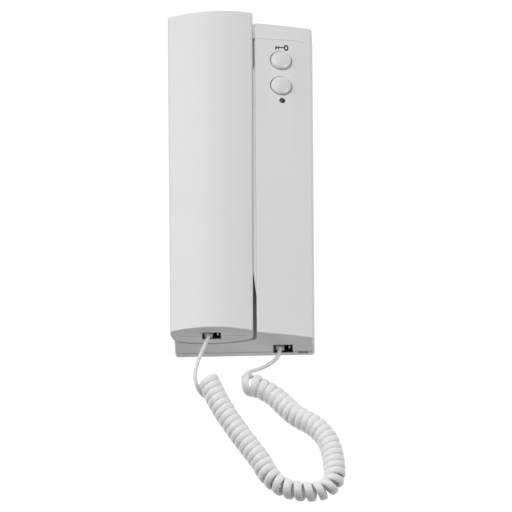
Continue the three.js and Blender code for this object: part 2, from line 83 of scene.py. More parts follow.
def new_object(name, mesh_builder):
    """An object from a bmesh, with its normals turned outwards."""
    bmesh.ops.recalc_face_normals(mesh_builder, faces=mesh_builder.faces)
    mesh = bpy.data.meshes.new(name)
    mesh_builder.to_mesh(mesh)
    mesh_builder.free()
    made = bpy.data.objects.new(name, mesh)
    bpy.context.scene.collection.objects.link(made)
    return made


def apply_modifiers(made):
    evaluated = made.evaluated_get(bpy.context.evaluated_depsgraph_get())
    mesh = bpy.data.meshes.new_from_object(evaluated)
    made.modifiers.clear()
    made.data = mesh
    return made


def combine(made, tools, operation):
    """Cuts the tools out of a piece, or joins them to it, one after another."""
    for tool in tools:
        modifier = made.modifiers.new("combine", "BOOLEAN")
        modifier.operation = operation
        modifier.solver = "EXACT"
        modifier.object = tool
    apply_modifiers(made)
    for tool in tools:
        bpy.data.objects.remove(tool)
    return made


def smooth(made, sharp_angle=35):
    """Smooth shading that keeps real corners crisp and flat faces flat."""
    made.data.shade_smooth()
    made.data.set_sharp_from_angle(angle=math.radians(sharp_angle))
    weighted = made.modifiers.new("even_normals", "WEIGHTED_NORMAL")
    weighted.keep_sharp = True
    weighted.weight = 80
    return made


def rounded(corners, steps=5):
    """A closed outline from (a, b, radius) corners. A corner of radius 0 stays as it is."""
    outline = []
    count = len(corners)
    for i, (a, b, radius) in enumerate(corners):
        here = Vector((a, b))
        if radius == 0:
            outline.append(here)
            continue
        before = (Vector(corners[i - 1][:2]) - here).normalized()
        after = (Vector(corners[(i + 1) % count][:2]) - here).normalized()
        for step in range(steps + 1):
            t = step / steps
            start, end = here + before * radius, here + after * radius
            outline.append(start * (1 - t) ** 2 + here * 2 * t * (1 - t) + end * t ** 2)
    return outline


def inset_outline(outline, distance):
    """The same outline drawn in by a distance."""
    area = sum(a.x * b.y - b.x * a.y for a, b in zip(outline, outline[1:] + outline[:1]))
    inward = 1 if area > 0 else -1
    moved = []
    for i, here in enumerate(outline):
        before = here - outline[i - 1]
        after = outline[(i + 1) % len(outline)] - here
        normal_a = Vector((-before.y, before.x)).normalized()
        normal_b = Vector((-after.y, after.x)).normalized()
        middle = normal_a + normal_b
        reach = middle.normalized() / max(0.4, middle.length / 2)
        moved.append(here + reach * distance * inward)
    return moved


def stacked(name, rings):
    """A closed solid through rings of the same number of points, from end to end."""
    made = bmesh.new()
    rows = [[made.verts.new(point) for point in ring] for ring in rings]
    for low, high in zip(rows, rows[1:]):
        for i in range(len(low)):
            made.faces.new((low[i - 1], low[i], high[i], high[i - 1]))
    made.faces.new(rows[0])
    made.faces.new(rows[-1])
    return new_object(name, made)


def rim_levels(start, end, rim, steps=4):
    """(position, inset) pairs that round both ends of a bar over the rim's radius."""
    if rim == 0:
        return [(start, 0), (end, 0)]
    quarter = [math.radians(90 * i / steps) for i in range(steps + 1)]
    low = [(start + rim * (1 - math.sin(t)), rim * (1 - math.cos(t))) for t in quarter]
    high = [(end - rim * (1 - math.sin(t)), rim * (1 - math.cos(t))) for t in quarter]
    return low[::-1] + high


def upright_bar(name, outline, bottom, top, rim=0, extra=0):
    """A bar along z from an (x, depth) outline in millimetres, with rounded ends."""
    rings = []
    for z, inset in rim_levels(bottom, top, rim):
        ring = inset_outline(outline, inset + extra) if inset + extra else outline
        rings.append([Vector((p.x, -p.y, z)) * MM for p in ring])
    return stacked(name, rings)


def forward_bar(name, outline, back, front, rim=0):
    """A bar that stands out of the wall from an (x, z) outline in millimetres."""
    rings = []
    for depth, inset in rim_levels(back, front, rim):
        ring = inset_outline(outline, inset) if inset else outline
        rings.append([Vector((p.x, -depth, p.y)) * MM for p in ring])
    return stacked(name, rings)


def side_bar(name, outline, left, right):
    """A bar along x from a (depth, z) outline in millimetres."""
    return stacked(name, [[Vector((x, -p.x, p.y)) * MM for p in outline] for x in (left, right)])


def box(name, x, depth, z):
    outline = [Vector((a, b)) for a, b in ((x[0], z[0]), (x[1], z[0]), (x[1], z[1]), (x[0], z[1]))]
    return forward_bar(name, outline, *depth)


def circle(x, z, radius, sides=40):
    turns = [2 * math.pi * i / sides for i in range(sides)]
    return [Vector((x + radius * math.cos(t), z + radius * math.sin(t))) for t in turns]


def rod(name, x, z, radius, back, front, sides=40):
    return forward_bar(name, circle(x, z, radius, sides), back, front)


def bow(start, end, rise, steps):
    """Points of a shallow arc, both ends included."""
    points = []
    for i in range(steps + 1):
        t = i / steps
        along = [a + (b - a) * t for a, b in zip(start, end)]
        points.append((along[0], along[1] + 4 * rise * t * (1 - t), 0))
    return points


# ------------------------------------------------------------------ materials


def node_of(tree, kind, **inputs):
    node = tree.nodes.new(kind)
    for name, value in inputs.items():
        node.inputs[name].default_value = value
    return node


def ramp(tree, source, low, high, values):
    """Maps a socket from low..high to a pair of values."""
    mapped = node_of(tree, "ShaderNodeMapRange")
    for i, value in enumerate((low, high, *values)):
        mapped.inputs[i + 1].default_value = value
    tree.links.new(source, mapped.inputs[0])
    return mapped.outputs[0]


def shade(colour, factor):
    return tuple(min(1, c * factor) for c in colour) + (1,)


def plastic(name, colour, roughness, grain=1.0, edge_highlight=1.06, specular=0.5, clouds=0.02):
    """Moulded plastic: faint clouding, a fine grain in its roughness and bump, and a painted highlight that
    lightens its convex edges.
    """
    material = bpy.data.materials.new(name)
    material.use_nodes = True
    tree = material.node_tree
    surface = tree.nodes["Principled BSDF"]
    place = tree.nodes.new("ShaderNodeTexCoord").outputs["Object"]

    cloud = node_of(tree, "ShaderNodeTexNoise", Scale=45.0, Detail=3.0)
    tree.links.new(place, cloud.inputs["Vector"])
    tint = tree.nodes.new("ShaderNodeMix")
    tint.data_type = "RGBA"
    tint.inputs["A"].default_value = shade(colour, 1 - clouds)
    tint.inputs["B"].default_value = shade(colour, 1 + clouds)
    tree.links.new(cloud.outputs["Fac"], tint.inputs["Factor"])

    # Painted highlight: convex edges, found by pointiness, are painted lighter by the edge_highlight factor.
    edges = tree.nodes.new("ShaderNodeNewGeometry").outputs["Pointiness"]
    edge_highlight_mask = ramp(tree, edges, 0.52, 0.6, (0, 1))
    edge_highlight_tint = tree.nodes.new("ShaderNodeMix")
    edge_highlight_tint.data_type = "RGBA"
    edge_highlight_tint.inputs["B"].default_value = shade(colour, edge_highlight)
    tree.links.new(edge_highlight_mask, edge_highlight_tint.inputs["Factor"])
    tree.links.new(tint.outputs["Result"], edge_highlight_tint.inputs["A"])
    tree.links.new(edge_highlight_tint.outputs["Result"], surface.inputs["Base Color"])

    fine = node_of(tree, "ShaderNodeTexNoise", Scale=1400.0, Detail=4.0)
    tree.links.new(place, fine.inputs["Vector"])
    dull = ramp(tree, fine.outputs["Fac"], 0.3, 0.7, (roughness - 0.03, roughness + 0.05))
    tree.links.new(dull, surface.inputs["Roughness"])

    bump = node_of(tree, "ShaderNodeBump", Strength=0.06 * grain, Distance=0.0002)
    tree.links.new(fine.outputs["Fac"], bump.inputs["Height"])
    tree.links.new(bump.outputs["Normal"], surface.inputs["Normal"])
    surface.inputs["Specular IOR Level"].default_value = specular
    return material


def metal(name, colour, roughness):
    """Plated metal with fine scratches in its roughness and bump."""
    material = bpy.data.materials.new(name)
    material.use_nodes = True
    tree = material.node_tree
    surface = tree.nodes["Principled BSDF"]
    place = tree.nodes.new("ShaderNodeTexCoord").outputs["Object"]
    scratch = node_of(tree, "ShaderNodeTexNoise", Scale=900.0, Detail=6.0)
    tree.links.new(place, scratch.inputs["Vector"])
    tint = tree.nodes.new("ShaderNodeMix")
    tint.data_type = "RGBA"
    tint.inputs["A"].default_value = shade(colour, 0.85)
    tint.inputs["B"].default_value = shade(colour, 1.1)
    tree.links.new(scratch.outputs["Fac"], tint.inputs["Factor"])
    tree.links.new(tint.outputs["Result"], surface.inputs["Base Color"])
    dull = ramp(tree, scratch.outputs["Fac"], 0.3, 0.7, (roughness - 0.06, roughness + 0.1))
    tree.links.new(dull, surface.inputs["Roughness"])
    bump = node_of(tree, "ShaderNodeBump", Strength=0.1, Distance=0.0001)
    tree.links.new(scratch.outputs["Fac"], bump.inputs["Height"])
    tree.links.new(bump.outputs["Normal"], surface.inputs["Normal"])
    surface.inputs["Metallic"].default_value = 1.0
    return material


SHELL = plastic("shell_gloss", (0.72, 0.72, 0.715), 0.36)
BUTTON = plastic("button_gloss", (0.68, 0.68, 0.675), 0.25, specular=0.8)
CORD = plastic("cord_vinyl", (0.81, 0.81, 0.805), 0.4, grain=2.0, edge_highlight=1.02)
BLACK = plastic("black_moulding", (0.012, 0.012, 0.013), 0.45, edge_highlight=1.5)
INK = plastic("black_ink", (0.02, 0.02, 0.02), 0.5, grain=3.0)
CLEAR = plastic("clear_plug", (0.3, 0.31, 0.32), 0.15, specular=0.9)
LAMP = plastic("smoked_lamp", (0.02, 0.02, 0.022), 0.12, specular=0.7)
LAMINATE = plastic("green_laminate", (0.02, 0.11, 0.05), 0.4, clouds=0.15)
NYLON = plastic("green_nylon", (0.04, 0.24, 0.09), 0.45)
FOAM = plastic("dark_foam", (0.03, 0.03, 0.03), 0.9, grain=12.0, clouds=0.2)
WIRE = plastic("red_wire", (0.35, 0.03, 0.025), 0.4)
STEEL = metal("zinc_steel", (0.62, 0.63, 0.64), 0.32)
GOLD = metal("gold_contact", (0.8, 0.6, 0.28), 0.25)


def finish_piece(made, material, body=None, replaces=()):
    made.data.materials.clear()
    made.data.materials.append(material)
    if body:
        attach(made, body)
    if replaces:
        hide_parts(*replaces)
    return made


# ------------------------------------------------------------------ cord


CABLE_WIDTH = 0.005
CABLE_THICKNESS = 0.0024
COIL_RADIUS = 0.0057        # of the cable's centre line round the coil's axis
LAST_TURN_RADIUS = 0.0061   # the turn at the base's end is a little wider
COIL_TURNS = 45.5
START_ANGLE = 75            # degrees round the axis from straight behind
TURN_STEPS = 22
CABLE_SIDES = 12
AXIS_STEP = 0.0002
TAIL_STEP = 0.0009
OVAL_POWER = 2.6            # above 2, so that the cable's oval section has flatter sides
BEND_MIDDLE = 0.099         # along the coil, where its own weight opens the turns and its halves meet
BEND_REACH = 0.036

# [x, y, z] in millimetres, as in the CAD source.
HANDSET_TAIL = [
    (-22, -25.4, -108), (-22, -25.4, -110.4), (-22.9, -25.4, -113.2), (-26.2, -25, -121.3),
    (-28.7, -24.5, -127.8), (-30.2, -24.2, -134), (-30.2, -23.4, -139.4), (-29.1, -21.2, -143.4),
    (-26.6, -17.4, -146.2), (-22.8, -14.6, -146.6), (-18.4, -14, -144.4), (-16.4, -16.4, -141.2),
]
COIL_ROUTE = [
    (-22.2, -22.4, -140.8), (-14.2, -21.5, -158.5), (-2.9, -20.3, -177.5), (9.5, -19, -196),
    (14.6, -18.4, -205.5), (22.3, -17.8, -213.3), (34.5, -17.1, -217), (47.8, -16.2, -215.6),
    (54, -15.7, -209), (54.8, -15.1, -199), (51.4, -14.2, -181), (43.7, -13.5, -169.5),
    (30.5, -12.5, -159.5), (17.5, -11.5, -145), (10.5, -11, -140.2), (6, -10.7, -137.6),
    (3.7, -10.1, -136.6), (2.2, -9.2, -136.2),
]
BASE_TAIL = [
    (-0.4, -8.2, -130.5), (1.4, -8, -127.2), (4.5, -8, -125.4), (8.2, -8, -124.3), (13.1, -7.9, -121.9),
    (17.8, -7.8, -118.4), (20.9, -7.8, -114.2), (21.6, -7.8, -110.4), (21.6, -7.8, -108),
]


def spline(points, spacing):
    """A Catmull-Rom curve through points, sampled about every spacing."""
    padded = [points[0] * 2 - points[1], *points, points[-1] * 2 - points[-2]]
    curve = []
    for p0, p1, p2, p3 in zip(padded, padded[1:], padded[2:], padded[3:]):
        knots = [0.0]
        for a, b in ((p0, p1), (p1, p2), (p2, p3)):
            knots.append(knots[-1] + math.sqrt((b - a).length))
        t0, t1, t2, t3 = knots
        steps = max(1, round((p2 - p1).length / spacing))
        for step in range(steps):
            t = t1 + (t2 - t1) * step / steps
            a1 = p0 * ((t1 - t) / (t1 - t0)) + p1 * ((t - t0) / (t1 - t0))
            a2 = p1 * ((t2 - t) / (t2 - t1)) + p2 * ((t - t1) / (t2 - t1))
            a3 = p2 * ((t3 - t) / (t3 - t2)) + p3 * ((t - t2) / (t3 - t2))
            b1 = a1 * ((t2 - t) / (t2 - t0)) + a2 * ((t - t0) / (t2 - t0))
            b2 = a2 * ((t3 - t) / (t3 - t1)) + a3 * ((t - t1) / (t3 - t1))
            curve.append(b1 * ((t2 - t) / (t2 - t1)) + b2 * ((t - t1) / (t2 - t1)))
    return curve + [points[-1]]


def smoothstep(low, high, value):
    t = min(1, max(0, (value - low) / (high - low)))
    return t * t * (3 - 2 * t)


def closeness(along, total):
    """How tightly the turns lie: fully in the straight runs, less near the base's end and in the bend."""
    open_end = 0.14 * smoothstep(0.003, 0.007, total - along) * (1 - smoothstep(0.012, 0.03, total - along))
    open_bend = 0.32 * (1 - smoothstep(0.008, BEND_REACH, abs(along - BEND_MIDDLE)))
    return 1 - open_end - open_bend


def coil_radius(along, total):
    """Turns that are drawn apart are narrower, and the last one is wide."""
    drawn_in = 0.35 * (1 - closeness(along, total)) * COIL_RADIUS
    wide_end = smoothstep(total - 0.009, total - 0.003, along)
    return (COIL_RADIUS - drawn_in) * (1 - wide_end) + LAST_TURN_RADIUS * wide_end


def coil_points():
    """The cable's centre line in the coil, the coil's direction at each point, and where its halves meet."""
    axis = spline([Vector(p) * MM for p in COIL_ROUTE], AXIS_STEP)
    walked = [0.0]
    for a, b in zip(axis, axis[1:]):
        walked.append(walked[-1] + (b - a).length)
    total = walked[-1]
    wound = [0.0]
    for a, b in zip(walked, walked[1:]):
        wound.append(wound[-1] + (b - a) * closeness((a + b) / 2, total))
    across = Vector((0, 1, 0))
    points, ways = [], []
    target = 0.0
    middle = 0
    for i in range(len(axis)):
        ahead = axis[min(i + 1, len(axis) - 1)] - axis[max(i - 1, 0)]
        way = ahead.normalized()
        across = (across - way * across.dot(way)).normalized()
        third = way.cross(across)
        turns = COIL_TURNS * wound[i] / wound[-1]
        if turns < target:
            continue
        target += 1 / TURN_STEPS
        angle = math.radians(START_ANGLE) + 2 * math.pi * turns
        radial = across * math.cos(angle) + third * math.sin(angle)
        points.append(axis[i] + radial * coil_radius(walked[i], total))
        ways.append(way)
        if walked[i] < BEND_MIDDLE:
            middle = len(points)
    return points, ways, middle


def sweep(name, points, widths, rings):
    """A flat oval cable along some of the points. Its wide side lies along widths."""
    made = bmesh.new()
    rows = []
    for i in rings:
        ahead = points[min(i + 1, len(points) - 1)] - points[max(i - 1, 0)]
        way = ahead.normalized()
        wide = (widths[i] - way * widths[i].dot(way)).normalized()
        thick = way.cross(wide)
        row = []
        for k in range(CABLE_SIDES):
            turn = 2 * math.pi * k / CABLE_SIDES
            a, b = math.cos(turn), math.sin(turn)
            square = (abs(a) ** OVAL_POWER + abs(b) ** OVAL_POWER) ** (-1 / OVAL_POWER)
            offset = wide * a * square * CABLE_WIDTH / 2 + thick * b * square * CABLE_THICKNESS / 2
            row.append(made.verts.new(points[i] + offset))
        rows.append(row)
    for low, high in zip(rows, rows[1:]):
        for k in range(CABLE_SIDES):
            made.faces.new((low[k - 1], low[k], high[k], high[k - 1]))
    for cap in (rows[0], rows[-1]):
        made.faces.new(cap)
    for face in made.faces:
        face.smooth = len(face.verts) == 4
    return new_object(name, made)


def turned_widths(first, last, count, start, end):
    """Directions that swing from one to another between two shares of the way."""
    shares = [smoothstep(start, end, i / max(1, count - 1)) for i in range(count)]
    return [first.lerp(last, share).normalized() for share in shares]


def make_cord(handset_plug, base_plug):
    """One cable, made as two pieces that meet at the bottom of the coil.

    The handset's half has its transform baked into its mesh and is attached to no body. The base's half is
    attached to the base.
    """
    coil, ways, middle = coil_points()
    lead_in = spline([Vector(p) * MM for p in HANDSET_TAIL] + coil[:3], TAIL_STEP)[:-1]
    lead_out = spline(coil[-3:] + [Vector(p) * MM for p in BASE_TAIL], TAIL_STEP)[1:]
    edge_on = Vector((0, -0.87, -0.5))
    points = lead_in + coil[2:-2] + lead_out
    widths = (
        turned_widths(edge_on, ways[0], len(lead_in), 0.5, 0.78)
        + ways[2:-2]
        + turned_widths(ways[-1], edge_on, len(lead_out), 0.02, 0.22)
    )
    meeting = len(lead_in) + middle - 2
    handset_rings = range(meeting + 1)
    base_rings = range(meeting, len(points))

    handset_half = sweep("cord_handset_half", points, widths, handset_rings)
    finish_piece(handset_half, CORD, replaces=["handset_tail", "curly_coil"])
    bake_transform(handset_half)
    base_half = sweep("cord_base_half", points, widths, base_rings)
    finish_piece(base_half, CORD, body="base", replaces=["curly_coil", "base_tail"])


# ------------------------------------------------------------------ base unit


WALL = 2
BASE_LEFT, BASE_RIGHT, BASE_BOTTOM, BASE_TOP = -43, 43, -110, 110
SEAM = 4.2
COVER_CORNER = 2.4         # radius of the cover's corners, seen from the front
HANDSET_MIDDLE = -19.9
HANDSET_LEFT, HANDSET_RIGHT, HANDSET_BOTTOM, HANDSET_TOP = -45.5, 5.7, -110, 113.8
HANDSET_EDGE, HANDSET_CROWN = 31.2, 5.3
HANDSET_WIDENS, HANDSET_CLIMBS = 1.2, 2.4     # at its upper right corner
PARTING = 25.3             # depth of the seam between its shells
SHELL_SCREWS = (55, -52)
EARPIECE_Z, MICROPHONE_Z = 88, -74
LUG_BOTTOM, LUG_TOP, LUG_REACH, LUG_ANGLE = 30, 36, 21, 30
CRADLE_FLOOR = 15.6
PLUNGER_Z = 60
CRADLE_RADIUS = 82
BLOCK_LEFT, BLOCK_TALL, BLOCK_LOW, BLOCK_CROWN = 7.9, 29.3, 20.4, 0.5
BLOCK_SLOPE = (BLOCK_LOW - BLOCK_TALL) / (BASE_RIGHT - BLOCK_LEFT)


def cradle_depth(x, lowest=CRADLE_FLOOR):
    across = x - HANDSET_MIDDLE
    return lowest + CRADLE_RADIUS - math.sqrt(CRADLE_RADIUS ** 2 - across ** 2)


def block_face(x):
    t = (x - BLOCK_LEFT) / (BASE_RIGHT - BLOCK_LEFT)
    return BLOCK_TALL + (BLOCK_LOW - BLOCK_TALL) * t + 4 * BLOCK_CROWN * t * (1 - t)


def cover_outline(softness=1):
    """The cover in plan. Softness scales the rounding of its outer corners, and a hollow has none."""
    floor_start, floor_end = BASE_LEFT + 1.2, BLOCK_LEFT - 3.4
    floor = []
    for i in range(25):
        x = floor_start + (floor_end - floor_start) * i / 24
        floor.append((x, cradle_depth(x), 0))
    face_start, face_end = BLOCK_LEFT + 2, BASE_RIGHT - 2
    face = []
    for i in range(17):
        x = face_start + (face_end - face_start) * i / 16
        face.append((x, block_face(x), 0))
    corners = [
        (BASE_LEFT, SEAM, 0), (BASE_LEFT, cradle_depth(BASE_LEFT), 1.1 * softness), *floor,
        (BLOCK_LEFT, cradle_depth(floor_end) + 0.2, 3.0), (BLOCK_LEFT, BLOCK_TALL, 1.3 * softness), *face,
        (BASE_RIGHT, BLOCK_LOW, 1.6 * softness), (BASE_RIGHT, SEAM, 0),
    ]
    return rounded(corners)


def panel_sink(z):
    """How far the face is sunk below its plain shape. The panel fades out downwards."""
    return PANEL_SINK * max(0, z - PANEL_BOTTOM) / (PANEL_TOP - PANEL_BOTTOM)


def panel_cutter():
    """Cuts the shallow panel out of the block's face, with a rounded upper right corner."""
    edge = [BLOCK_LEFT - 1 + i for i in range(round(PANEL_RIGHT - BLOCK_LEFT) + 4)]
    rings = []
    for z, sink in ((PANEL_BOTTOM, -0.03), (PANEL_TOP + 2, PANEL_SINK)):
        low = [Vector((x, -(block_face(x) - sink), z)) * MM for x in edge]
        high = [Vector((x, -35, z)) * MM for x in (edge[-1], edge[0])]
        rings.append(low + high)
    slab = stacked("slab", rings)
    left, bottom = BLOCK_LEFT - 0.5, PANEL_BOTTOM + 1
    plan = rounded([(left, bottom, 0), (PANEL_RIGHT, bottom, 0), (PANEL_RIGHT, PANEL_TOP, 3),
                    (left, PANEL_TOP - 1.5, 0)])
    return combine(slab, [forward_bar("plan", plan, 15, 34)], "INTERSECT")


def handset_right_at(z):
    return HANDSET_RIGHT + HANDSET_WIDENS * (z - HANDSET_BOTTOM) / (HANDSET_TOP - HANDSET_BOTTOM)


def gap_lip(name, bottom, taper_end, top, gap, front):
    """Fills the groove beside the handset up to a depth, leaving a gap."""
    outline = [Vector(p) for p in (
        (handset_right_at(top) + gap, top), (handset_right_at(bottom) + gap, bottom),
        (BLOCK_LEFT + 0.4, taper_end), (BLOCK_LEFT + 0.4, top),
    )]
    return forward_bar(name, outline, 20.6, front)


def hook_outline(start, end, margin):
    """The lug that the handset hangs on, which slants up out of the cradle, as a (depth, z) outline."""
    slope = math.tan(math.radians(LUG_ANGLE))
    low, high = LUG_BOTTOM - margin, LUG_TOP + margin
    corners = ((start, low), (end, low), (end, high), (start, high))
    return [Vector((depth, z + (depth - CRADLE_FLOOR) * slope)) for depth, z in corners]


BUTTON_X, BUTTON_RADIUS = 24.1, 6.4
BUTTON_LEAN = 0.45         # share of the block's slope that the caps take up
BUTTON_HEIGHTS = {"door": 85, "service": 67}
LAMP_X, LAMP_Z, LAMP_RADIUS = 24.7, 56.6, 1.65
PANEL_RIGHT, PANEL_BOTTOM, PANEL_TOP, PANEL_SINK = 38.5, -20, 100.4, 0.2
BASE_WINDOW = ((17.55, 29.75), (3, 13))
HANDSET_WINDOW = ((-25.9, -14.1), (21.5, 29.7))


def corner_cutter():
    """Everything outside the cover's plan, which has rounded corners."""
    left, right, low, high = BASE_LEFT - 0.05, BASE_RIGHT + 0.05, BASE_BOTTOM - 0.05, BASE_TOP + 0.05
    plan = rounded([(left, low, COVER_CORNER), (right, low, COVER_CORNER),
                    (right, high, COVER_CORNER), (left, high, COVER_CORNER)])
    surround = box("surround", (left - 5, right + 5), (2, 40), (low - 5, high + 5))
    return combine(surround, [forward_bar("plan", plan, 1, 41)], "DIFFERENCE")


def make_cover():
    outline = cover_outline()
    cover = upright_bar("cover_body", outline, BASE_BOTTOM, BASE_TOP, rim=0.6)
    hollow = upright_bar("hollow", cover_outline(0), BASE_BOTTOM + WALL, BASE_TOP - WALL, extra=WALL)
    opening = box("opening", (BASE_LEFT + WALL, BASE_RIGHT - WALL), (SEAM - 2, SEAM + 3),
                  (BASE_BOTTOM + WALL, BASE_TOP - WALL))
    lips = [
        gap_lip("lip_long", -66, -88, 78.1, 0.16, 28.4),
        gap_lip("lip_slot", 78, 77.9, 100, 0.3, 26.5),
        gap_lip("lip_top", 99.9, 99.8, BASE_TOP - 0.6, 0.16, 28.4),
    ]
    lug = side_bar("lug", hook_outline(15, LUG_REACH, 0), HANDSET_MIDDLE - 6, HANDSET_MIDDLE + 6)
    cutters = [rod("hole", BUTTON_X, z, BUTTON_RADIUS + 0.4, 15, 32) for z in BUTTON_HEIGHTS.values()]
    cutters += [
        rod("lamp_hole", LAMP_X, LAMP_Z, LAMP_RADIUS + 0.2, 15, 32),
        rod("plunger_hole", HANDSET_MIDDLE, PLUNGER_Z, 4.3, 10, 20),
        box("window", *BASE_WINDOW, (BASE_BOTTOM - 1, BASE_BOTTOM + WALL + 1)),
    ]
    combine(cover, [hollow, opening], "DIFFERENCE")
    combine(cover, [*lips, lug], "UNION")
    combine(cover, [corner_cutter(), panel_cutter(), *cutters], "DIFFERENCE")
    smooth(cover)
    return finish_piece(cover, SHELL, "base", ["base_cover"])


def make_button(name, z):
    """A domed cap whose top leans with the block's face, over a retaining flange and a stem."""
    profile = [(0, 1.75), (1.6, 1.7), (3.2, 1.54), (4.5, 1.28), (5.4, 1.0), (5.95, 0.7), (6.28, 0.32),
               (BUTTON_RADIUS, -0.2), (BUTTON_RADIUS, -5)]
    sides = 48
    top = block_face(BUTTON_X)
    made = bmesh.new()
    tip = made.verts.new(Vector((BUTTON_X, -(top + profile[0][1]), z)) * MM)
    rows = []
    for radius, height in profile[1:]:
        lean = BUTTON_LEAN * BLOCK_SLOPE if height > -4 else 0
        row = []
        for p in circle(0, 0, radius, sides):
            depth = top + height + lean * p.x
            row.append(made.verts.new(Vector((BUTTON_X + p.x, -depth, z + p.y)) * MM))
        rows.append(row)
    for i in range(sides):
        made.faces.new((tip, rows[0][i - 1], rows[0][i]))
    for low, high in zip(rows, rows[1:]):
        for i in range(sides):
            made.faces.new((low[i - 1], low[i], high[i], high[i - 1]))
    made.faces.new(rows[-1])
    cap = new_object(f"{name}_cap", made)
    flange = rod("flange", BUTTON_X, z, 8, 19.9, 20.9)
    stem = rod("stem", BUTTON_X, z, 2.5, 12.7, 20.2, 24)
    combine(cap, [flange, stem], "UNION")
    smooth(cap)
    return finish_piece(cap, BUTTON, f"{name}_press", [f"{name}_button"])


def make_lamp():
    """The lamp's light pipe, with a low dome just above the face."""
    top = block_face(LAMP_X)
    levels = [(12.6, 1.2), (top - 2.6, 1.2), (top - 2.5, LAMP_RADIUS), (top - 0.35, LAMP_RADIUS),
              (top - 0.1, 1.45), (top + 0.08, 1.0), (top + 0.15, 0.4)]
    rings = [[Vector((p.x, -depth, p.y)) * MM for p in circle(LAMP_X, LAMP_Z, radius, 24)]
             for depth, radius in levels]
    lamp = smooth(stacked("lamp_dome", rings))
    return finish_piece(lamp, LAMP, "base", ["lamp_lens"])


def printed(name, outline, hole=None):
    """A thin printed mark that lies on the block's face. Outlines are (x, z)."""
    def sheet(label, points, low, high):
        rings = []
        for lift in (low, high):
            depths = [block_face(p.x) - panel_sink(p.y) + lift for p in points]
            rings.append([Vector((p.x, -depth, p.y)) * MM for p, depth in zip(points, depths)])
        return stacked(label, rings)

    mark = sheet(name, outline, -0.05, 0.03)
    if hole:
        combine(mark, [sheet("hole", hole, -0.2, 0.2)], "DIFFERENCE")
    return mark


def oval(x, z, half_width, half_height):
    return [Vector((x + p.x * half_width, z + p.y * half_height)) for p in circle(0, 0, 1, 28)]


def make_key_mark():
    """The pictogram above the buttons: a key with its ring at the right."""
    z = 94.3
    ring = printed("key_ring", oval(27.3, z, 1.4, 2.15), oval(27.3, z, 0.6, 1.1))
    parts = {
        "key_shaft": (20.6, 26.1, z - 0.42, z + 0.42),
        "key_bit_a": (20.6, 21.5, z - 1.9, z - 0.3),
        "key_bit_b": (22.2, 23.0, z - 1.6, z - 0.3),
    }
    marks = [ring]
    for name, (left, right, low, high) in parts.items():
        corners = [Vector(p) for p in ((left, low), (right, low), (right, high), (left, high))]
        marks.append(printed(name, corners))
    for mark in marks:
        finish_piece(mark, INK, "base")


# ------------------------------------------------------------------ handset


def handset_outline(softness=1):
    """The handset in plan. Softness scales the rounding of its corners, and a hollow has none."""
    left, right, edge = HANDSET_LEFT, HANDSET_RIGHT, HANDSET_EDGE
    front = bow((left, edge), (right, edge), HANDSET_CROWN, 48)[2:-2]
    rear_start, rear_end = right - 3.1, left + 3.3
    rear = []
    for i in range(25):
        x = rear_start + (rear_end - rear_start) * i / 24
        rear.append((x, cradle_depth(x, CRADLE_FLOOR + 0.7), 0))
    corners = [
        (left, edge, 1.6 * softness), *front, (right, edge, 1.6 * softness),
        (right, rear[0][1] + 2.2, 2.0 * softness), *rear,
        (left + 2.0, rear[-1][1] + 1.2, 1.0 * softness), (left + 0.1, 26.4, 0),
    ]
    return rounded(corners)


def drafted(made):
    """The handset widens towards its top and its top edge climbs to the right."""
    for vertex in made.data.vertices:
        across = (vertex.co.x / MM - HANDSET_LEFT) / (HANDSET_RIGHT - HANDSET_LEFT)
        up = (vertex.co.z / MM - HANDSET_BOTTOM) / (HANDSET_TOP - HANDSET_BOTTOM)
        vertex.co.x += HANDSET_WIDENS * across * up * MM
        vertex.co.z += HANDSET_CLIMBS * across * up * MM
    return made


def handset_half(name, cut_depths):
    """One shell: the whole hollow handset with the other shell's depths cut away."""
    half = drafted(upright_bar(name, handset_outline(), HANDSET_BOTTOM, HANDSET_TOP, rim=0.6))
    inside = (HANDSET_BOTTOM + WALL, HANDSET_TOP - WALL)
    hollow = drafted(upright_bar("hollow", handset_outline(0), *inside, extra=WALL))
    other_half = box("other_half", (-60, 20), cut_depths, (-120, 130))
    window = box("window", *HANDSET_WINDOW, (HANDSET_BOTTOM - 1, HANDSET_BOTTOM + WALL + 1))
    return combine(half, [hollow, other_half, window], "DIFFERENCE")


def make_front_shell():
    front = handset_half("handset_face", (0, PARTING + 0.15))
    bosses = [rod("boss", HANDSET_MIDDLE, z, 3.5, 20.6, 35) for z in SHELL_SCREWS]
    combine(front, bosses, "UNION")
    smooth(front)
    return finish_piece(front, SHELL, "handset", ["handset_front_shell"])


def make_rear_shell():
    rear = handset_half("handset_back", (PARTING - 0.15, 45))
    x = HANDSET_MIDDLE
    pocket_box = side_bar("pocket_box", hook_outline(17.6, LUG_REACH + 1.8, 1.8), x - 7.8, x + 7.8)
    pads = [rod("pad", x, z, 4.5, 17.9, 20.3) for z in SHELL_SCREWS]
    combine(rear, [pocket_box, *pads], "UNION")
    pocket = side_bar("pocket", hook_outline(10, LUG_REACH + 0.6, 0.5), x - 6.5, x + 6.5)
    holes = [rod("ear", x, EARPIECE_Z, 0.9, 12, 22, 16)]
    for i in range(6):
        turn = math.radians(60 * i)
        across, up = 5 * math.cos(turn), 5 * math.sin(turn)
        holes.append(rod("ear", x + across, EARPIECE_Z + up, 0.9, 12, 22, 16))
    holes += [rod("voice", x + aside, MICROPHONE_Z, 0.7, 12, 22, 16) for aside in (-3, 0, 3)]
    for z in SHELL_SCREWS:
        holes += [rod("head", x, z, 3.1, 10, 18.1, 24), rod("shank", x, z, 1.7, 10, 22, 16)]
    combine(rear, [pocket, *holes], "DIFFERENCE")
    smooth(rear)
    return finish_piece(rear, SHELL, "handset", ["handset_rear_shell"])


# ------------------------------------------------------------------ jacks and plugs


